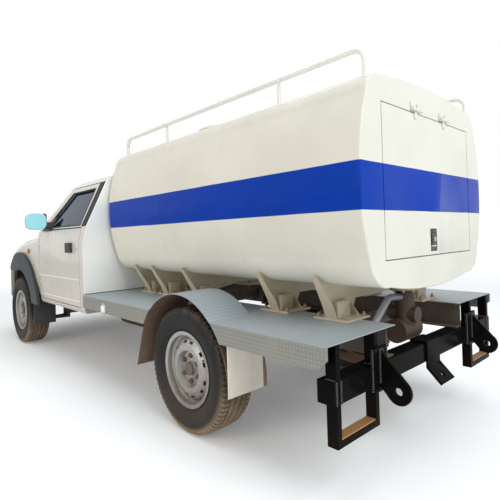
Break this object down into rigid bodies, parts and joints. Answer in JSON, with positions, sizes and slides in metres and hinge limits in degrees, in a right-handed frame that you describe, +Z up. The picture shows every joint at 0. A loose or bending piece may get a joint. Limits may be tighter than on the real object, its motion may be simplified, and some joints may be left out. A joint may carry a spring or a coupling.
{
  "type": "fuel bowser",
  "caption": "Single-cab light truck with a fixed elliptical fuel tank on a tread-plate deck, rear cabinet hatch, grab rails and stirrup steps.",
  "frame": {"origin": "on the ground under the middle of the bounding box", "axes": "+Y to the truck's rear, +X to its left, +Z up"},
  "size_m": [2.0524, 5.0449, 1.9022],
  "materials": {
    "white_paint": "gloss, dusty",
    "cream_paint": "satin, worn",
    "grey_primer": "satin",
    "chassis_steel": "dark, rusty",
    "grey_trim": "grained",
    "tread_plate": "worn tread plate",
    "black_plastic": "grained, dusty",
    "glass": "tinted",
    "cast_block": "rough",
    "exhaust_steel": "rusty",
    "meter_paint": "satin",
    "lamp_lens": "clear cover over a bright bowl",
    "reel_paint": "satin",
    "white_plastic": "dirty",
    "rusty_sheet": "rust and mud",
    "black_paint": "gloss, chipped",
    "silver_steel": "dusty silver",
    "seat_fabric": "woven",
    "tyre": "dusty"
  },
  "bodies": {
    "root": {"cab_back": "white_paint", "cab_floor": "grey_primer", "cab_roof": "white_paint", "cab_sides": "white_paint", "chassis_rails": "chassis_steel", "crossmembers": "chassis_steel", "dashboard": "grey_trim", "deck_panels": "tread_plate", "engine_block": "cast_block", "exhaust": "exhaust_steel", "fixed_hinges": "white_paint", "flow_meter": "meter_paint", "front_bumper": "white_paint", "front_wings": "white_paint", "grab_rails": "white_paint", "grille_panel": "black_plastic", "headlamps": "lamp_lens", "hose_reel": "reel_paint", "leaf_springs": "chassis_steel", "mud_flaps": "white_plastic", "mudguards": "rusty_sheet", "outlet_pipework": "chassis_steel", "propshaft": "chassis_steel", "rear_axle": "chassis_steel", "rear_beam": "black_paint", "seats": "seat_fabric", "stirrup_frames": "black_paint", "suspension_arms": "chassis_steel", "tank_saddles": "cream_paint", "tank_shell": "white_paint", "tow_fittings": "black_paint", "wheel_flares": "black_plastic", "windscreen": "glass"},
    "knuckle_left": {"knuckle_left": "cast_block"},
    "knuckle_right": {"knuckle_right": "cast_block"},
    "wheel_fl": {"tyre_fl": "tyre", "rim_fl": "silver_steel"},
    "wheel_fr": {"tyre_fr": "tyre", "rim_fr": "silver_steel"},
    "wheel_rl": {"tyre_rl": "tyre", "rim_rl": "silver_steel"},
    "wheel_rr": {"tyre_rr": "tyre", "rim_rr": "silver_steel"},
    "door_left": {"door_left": "white_paint", "door_glass_left": "glass", "door_fittings_left": "black_plastic"},
    "door_right": {"door_right": "white_paint", "door_glass_right": "glass", "door_fittings_right": "black_plastic"},
    "bonnet": {"bonnet": "white_paint"},
    "rear_hatch": {"rear_hatch": "white_paint"},
    "manhole_lid": {"manhole_lid": "white_paint"}
  },
  "joints": [
    {"name": "steer_left", "type": "hinge", "parent": "root", "child": "knuckle_left", "pos_m": [0.655, -1.6725, 0.345], "axis": [0, 0, 1], "range_deg": [-33, 33]},
    {"name": "steer_right", "type": "hinge", "parent": "root", "child": "knuckle_right", "pos_m": [-0.655, -1.6725, 0.345], "axis": [0, 0, 1], "range_deg": [-33, 33]},
    {"name": "wheel_fl_spin", "type": "hinge", "parent": "knuckle_left", "child": "wheel_fl", "pos_m": [0.74, -1.6725, 0.345], "axis": [1, 0, 0], "continuous": true},
    {"name": "wheel_fr_spin", "type": "hinge", "parent": "knuckle_right", "child": "wheel_fr", "pos_m": [-0.74, -1.6725, 0.345], "axis": [1, 0, 0], "continuous": true},
    {"name": "wheel_rl_spin", "type": "hinge", "parent": "root", "child": "wheel_rl", "pos_m": [0.71, 1.3775, 0.345], "axis": [1, 0, 0], "continuous": true},
    {"name": "wheel_rr_spin", "type": "hinge", "parent": "root", "child": "wheel_rr", "pos_m": [-0.71, 1.3775, 0.345], "axis": [1, 0, 0], "continuous": true},
    {"name": "door_left_hinge", "type": "hinge", "parent": "root", "child": "door_left", "pos_m": [0.843, -0.9605, 1], "axis": [0, 0, -1], "range_deg": [0, 65]},
    {"name": "door_right_hinge", "type": "hinge", "parent": "root", "child": "door_right", "pos_m": [-0.843, -0.9605, 1], "axis": [0, 0, 1], "range_deg": [0, 65]},
    {"name": "bonnet_hinge", "type": "hinge", "parent": "root", "child": "bonnet", "pos_m": [0, -1.0685, 1.114], "axis": [-1, 0, 0], "range_deg": [0, 50]},
    {"name": "rear_hatch_hinge", "type": "hinge", "parent": "root", "child": "rear_hatch", "pos_m": [0, 2.418, 1.636], "axis": [1, 0, 0], "range_deg": [0, 90]},
    {"name": "manhole_lid_hinge", "type": "hinge", "parent": "root", "child": "manhole_lid", "pos_m": [0, 0.6055, 1.8513], "axis": [1, 0, 0], "range_deg": [0, 100]}
  ],
  "couplings": [
    {"joint": "steer_right", "follows": "steer_left", "ratio": 1}
  ]
}
